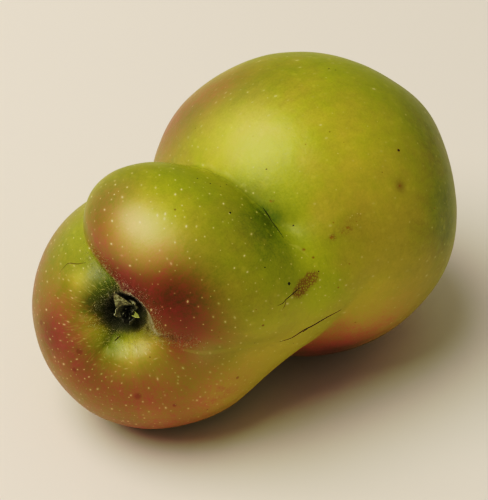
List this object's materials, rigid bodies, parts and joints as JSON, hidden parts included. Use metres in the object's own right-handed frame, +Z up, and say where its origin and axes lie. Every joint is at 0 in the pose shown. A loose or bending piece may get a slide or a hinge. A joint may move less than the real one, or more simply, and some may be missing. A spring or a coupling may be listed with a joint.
{
  "type": "conjoined apple",
  "caption": "Whole conjoined apple: a large and a small lobe grown together at a waist, with a folded calyx basin and a stalk cavity.",
  "frame": {"origin": "on the resting surface, under the middle of the bounding box", "axes": "+X along the fruit from the small lobe to the large lobe, +Z up; the calyx basin faces -X and -Y"},
  "size_m": [0.114, 0.0786, 0.0759],
  "materials": {
    "skin": "satin, waxy",
    "dried_calyx": "matt, dry",
    "woody_stalk": "matt, dry"
  },
  "bodies": {
    "root": {"fruit": "skin", "calyx": "dried_calyx", "stalk": "woody_stalk"}
  },
  "joints": []
}
